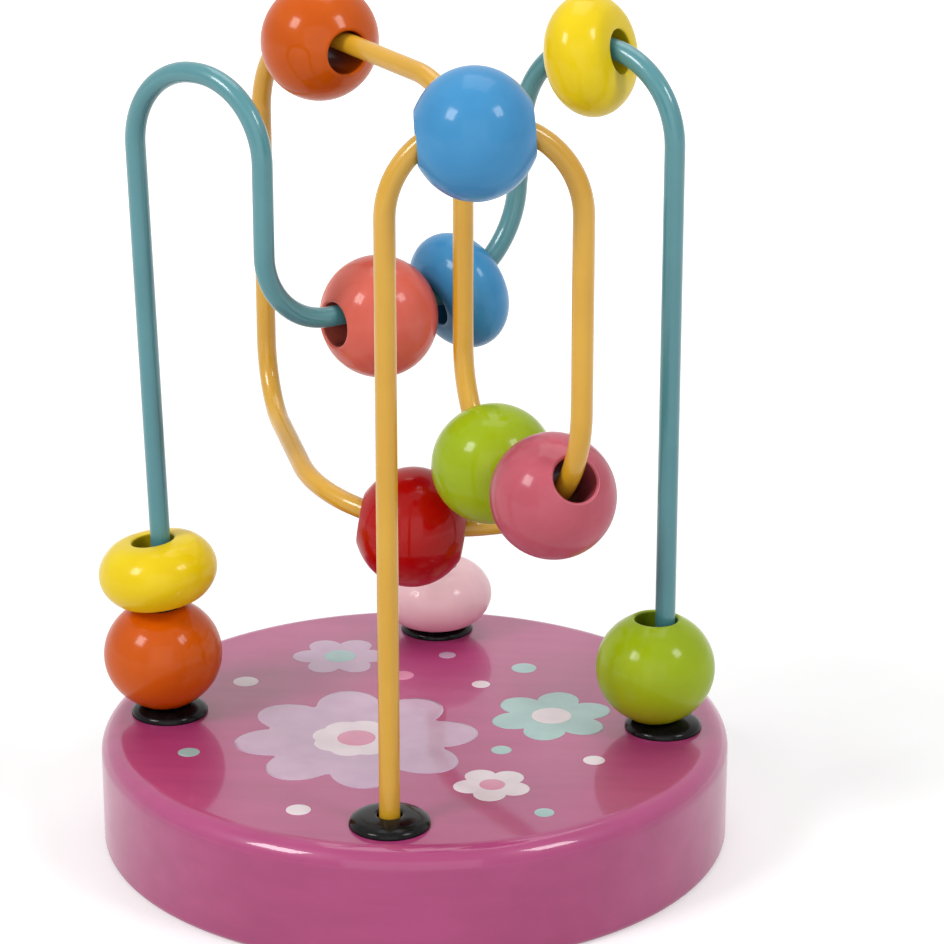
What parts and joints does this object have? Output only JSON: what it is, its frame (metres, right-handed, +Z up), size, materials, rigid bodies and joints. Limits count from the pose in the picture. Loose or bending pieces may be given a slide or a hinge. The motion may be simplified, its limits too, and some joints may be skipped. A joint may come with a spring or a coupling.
{
  "type": "bead maze",
  "caption": "Round lacquered wooden base with bent coated wires rising from domed collars; bored wooden beads slide along the arches and dips as a hand-skill toy.",
  "frame": {"origin": "middle of the underside of the round base", "axes": "+Z up, +X to the right foot of the teal wire, -Y to the front foot of the yellow wire"},
  "size_m": [0.1063, 0.106, 0.1416],
  "materials": {
    "base_lacquer": "gloss lacquer over turned wood",
    "collar_plastic": "moulded gloss black",
    "teal_coating": "smooth coating over steel wire",
    "yellow_coating": "smooth coating over steel wire",
    "orange_paint": "gloss paint over turned wood",
    "yellow_paint": "gloss paint over turned wood",
    "lime_paint": "gloss paint over turned wood",
    "pale_pink_paint": "gloss paint over turned wood",
    "salmon_paint": "gloss paint over turned wood",
    "blue_paint": "gloss paint over turned wood",
    "pink_paint": "gloss paint over turned wood",
    "red_paint": "gloss paint over turned wood"
  },
  "bodies": {
    "stand": {"base_disc": "base_lacquer", "left_collar": "collar_plastic", "right_collar": "collar_plastic", "front_collar": "collar_plastic", "back_collar": "collar_plastic", "teal_wire": "teal_coating", "yellow_wire": "yellow_coating"},
    "orange_foot_bead": {"orange_foot_bead": "orange_paint"},
    "yellow_stack_bead": {"yellow_stack_bead": "yellow_paint"},
    "lime_foot_bead": {"lime_foot_bead": "lime_paint"},
    "pale_pink_foot_bead": {"pale_pink_foot_bead": "pale_pink_paint"},
    "salmon_dip_bead": {"salmon_dip_bead": "salmon_paint"},
    "blue_dip_bead": {"blue_dip_bead": "blue_paint"},
    "yellow_arch_bead": {"yellow_arch_bead": "yellow_paint"},
    "blue_arch_bead": {"blue_arch_bead": "blue_paint"},
    "pink_dip_bead": {"pink_dip_bead": "pink_paint"},
    "lime_dip_bead": {"lime_dip_bead": "lime_paint"},
    "orange_arch_bead": {"orange_arch_bead": "orange_paint"},
    "red_sweep_bead": {"red_sweep_bead": "red_paint"}
  },
  "joints": [
    {"name": "orange_foot_lift", "type": "slide", "parent": "stand", "child": "orange_foot_bead", "axis": [-0.0287, 0, 0.9996], "range_m": [0, 0.034]},
    {"name": "yellow_stack_lift", "type": "slide", "parent": "orange_foot_bead", "child": "yellow_stack_bead", "axis": [-0.0287, 0, 0.9996], "range_m": [0, 0.036]},
    {"name": "lime_foot_lift", "type": "slide", "parent": "stand", "child": "lime_foot_bead", "axis": [0, 0, 1], "range_m": [0, 0.07]},
    {"name": "pale_pink_foot_lift", "type": "slide", "parent": "stand", "child": "pale_pink_foot_bead", "axis": [0, 0, 1], "range_m": [0, 0.013]},
    {"name": "salmon_dip_shift", "type": "slide", "parent": "stand", "child": "salmon_dip_bead", "axis": [0.7631, 0.6463, 0], "range_m": [-0.0035, 0]},
    {"name": "blue_dip_climb", "type": "hinge", "parent": "stand", "child": "blue_dip_bead", "pos_m": [0.0029, 0.00589, 0.10899], "axis": [0.646, -0.7627, -0.0314], "range_deg": [0, 80]},
    {"name": "yellow_arch_run", "type": "hinge", "parent": "stand", "child": "yellow_arch_bead", "pos_m": [0.0303, 0.00846, 0.11907], "axis": [0.586, 0.8103, 0], "range_deg": [0, 100]},
    {"name": "blue_arch_run", "type": "hinge", "parent": "stand", "child": "blue_arch_bead", "pos_m": [0.01415, -0.04007, 0.11721], "axis": [-0.1353, 0.9908, 0], "range_deg": [-84, 24]},
    {"name": "pink_dip_climb", "type": "hinge", "parent": "stand", "child": "pink_dip_bead", "pos_m": [0.01915, -0.02093, 0.08686], "axis": [0.8597, 0.5109, 0], "range_deg": [-60, 0]},
    {"name": "lime_dip_climb", "type": "hinge", "parent": "stand", "child": "lime_dip_bead", "pos_m": [0.01864, -0.02007, 0.08686], "axis": [0.8597, 0.5109, 0], "range_deg": [0, 33]},
    {"name": "orange_arch_run", "type": "hinge", "parent": "stand", "child": "orange_arch_bead", "pos_m": [-0.01816, 0.02451, 0.1163], "axis": [-0.7181, -0.696, 0], "range_deg": [-2, 92]},
    {"name": "red_sweep_run", "type": "hinge", "parent": "stand", "child": "red_sweep_bead", "pos_m": [0.0004, 0.01881, 0.05839], "axis": [0.1537, -0.112, 0.9818], "range_deg": [-68, 42]}
  ]
}
